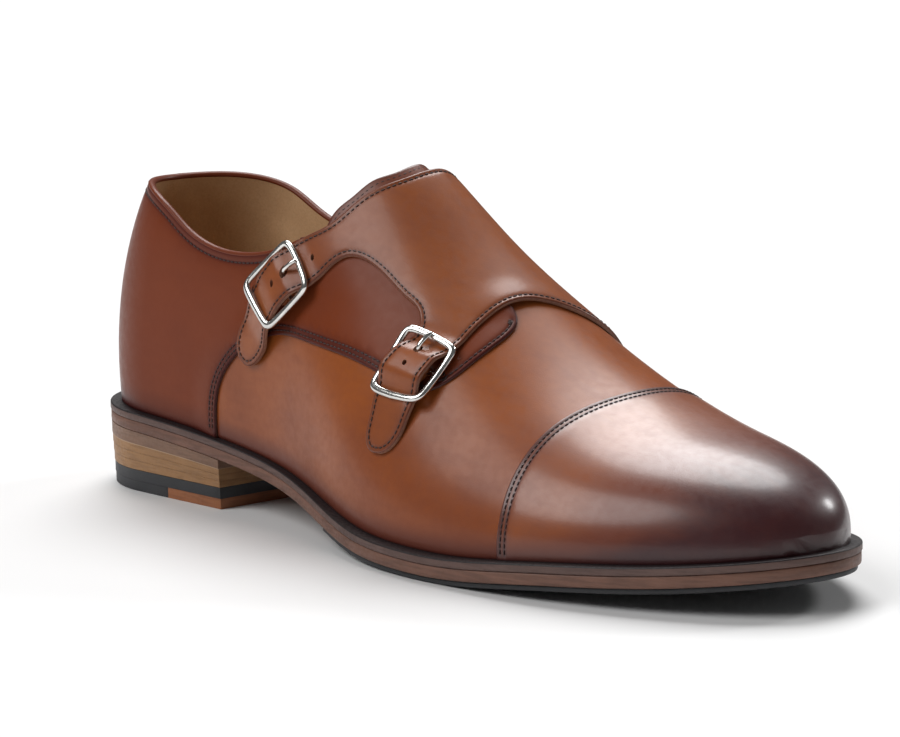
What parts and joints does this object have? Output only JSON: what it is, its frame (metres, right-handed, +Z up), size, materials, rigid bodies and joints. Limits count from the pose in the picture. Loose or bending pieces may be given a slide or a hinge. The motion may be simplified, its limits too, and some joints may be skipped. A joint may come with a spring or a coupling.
{
  "type": "monk strap shoe",
  "caption": "Low leather dress shoe for the right foot: cap toe, instep flap with two buckled straps, leather sole and stacked heel.",
  "frame": {"origin": "on the floor under the centre of the shoe", "axes": "+X towards the toe, +Y towards the inner (big toe) side, +Z up"},
  "size_m": [0.302, 0.1068, 0.1113],
  "materials": {
    "calf": "burnished cognac calf, soft gloss",
    "cap_calf": "burnished calf darkened at the toe, glossy",
    "tongue_calf": "brown calf, satin",
    "lining": "natural tan lining leather, matte",
    "welt_leather": "dark dyed welt, satin",
    "sole_leather": "brown stained sole leather, satin",
    "stack_leather": "stacked heel leather, satin",
    "corner_leather": "orange tan heel corner leather, satin",
    "rubber": "black rubber, matte",
    "buckle_metal": "polished silver coloured metal"
  },
  "bodies": {
    "root": {"outsole": "sole_leather", "forefoot_tread": "rubber", "welt": "welt_leather", "heel_stack": "stack_leather", "heel_rubber": "rubber", "heel_corner": "corner_leather", "insole": "lining", "upper": "calf", "toe_cap": "cap_calf", "tongue": "tongue_calf", "strap_piece": "calf", "upper_buckle_frame": "buckle_metal", "upper_buckle_prong": "buckle_metal", "upper_buckle_tab": "calf", "lower_buckle_frame": "buckle_metal", "lower_buckle_prong": "buckle_metal", "lower_buckle_tab": "calf"}
  },
  "joints": []
}
